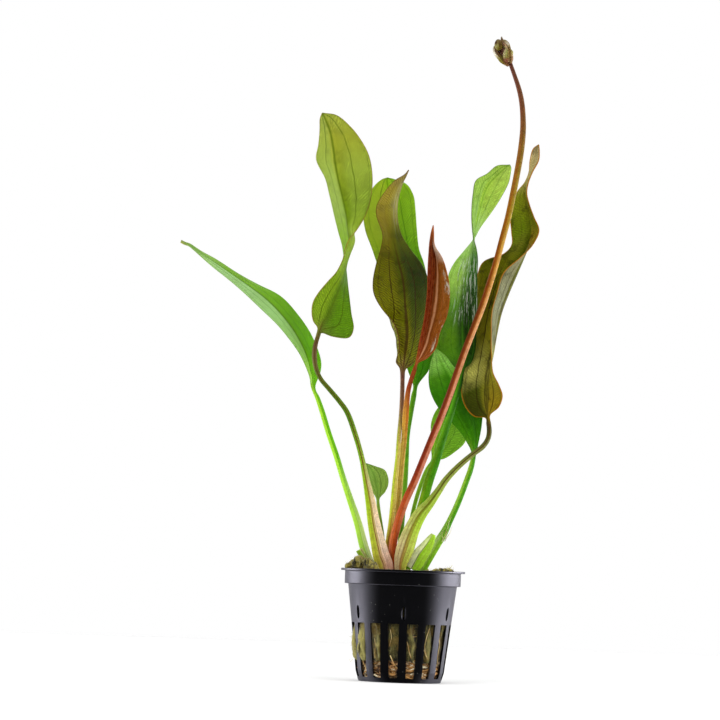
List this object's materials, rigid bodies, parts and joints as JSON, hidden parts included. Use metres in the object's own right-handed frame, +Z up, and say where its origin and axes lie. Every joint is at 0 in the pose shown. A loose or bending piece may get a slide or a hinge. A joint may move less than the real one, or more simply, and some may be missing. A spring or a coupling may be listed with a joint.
{
  "type": "potted aquarium plant",
  "caption": "Leafy sword-type water plant with a tall budding flower stalk, rooted in mineral wool in a black slotted plastic pot.",
  "frame": {"origin": "centre of the pot's flat underside, the point on the surface that it stands on", "axes": "+Z up along the pot's axis; -Y is the plant's front, the side that the picture shows"},
  "size_m": [0.1623, 0.0616, 0.2909],
  "materials": {
    "pot": "black moulded polypropylene, slightly glossy",
    "rockwool": "wet mineral wool, khaki",
    "roots": "fine orange-brown roots",
    "crown": "fleshy rootstock",
    "leaf_green": "satin green leaf",
    "leaf_lime": "satin lime to olive leaf",
    "leaf_olive": "satin olive-brown leaf",
    "leaf_red": "glossy rust-red young leaf",
    "leaf_pale": "matte pale green leaf",
    "flower_stalk": "smooth red-brown stalk",
    "bud": "olive and cream bracts with maroon edges"
  },
  "bodies": {
    "root": {"net_pot": "pot", "rockwool_plug": "rockwool", "root_mat": "roots", "crown": "crown", "leaf_far_left": "leaf_green", "leaf_back": "leaf_green", "leaf_right_broad": "leaf_green", "leaf_tall_left": "leaf_lime", "leaf_right_twisted": "leaf_lime", "leaf_centre": "leaf_olive", "leaf_right_olive": "leaf_olive", "leaf_young_red": "leaf_red", "leaf_small": "leaf_pale", "leaf_low_back": "leaf_pale", "cut_stub_left": "leaf_green", "cut_stub_right": "leaf_green", "flower_stalk": "flower_stalk", "flower_bud": "bud", "bud_bract_1": "bud", "bud_bract_2": "bud", "bud_bract_3": "bud", "bud_bract_4": "bud", "bud_bract_5": "bud"}
  },
  "joints": []
}
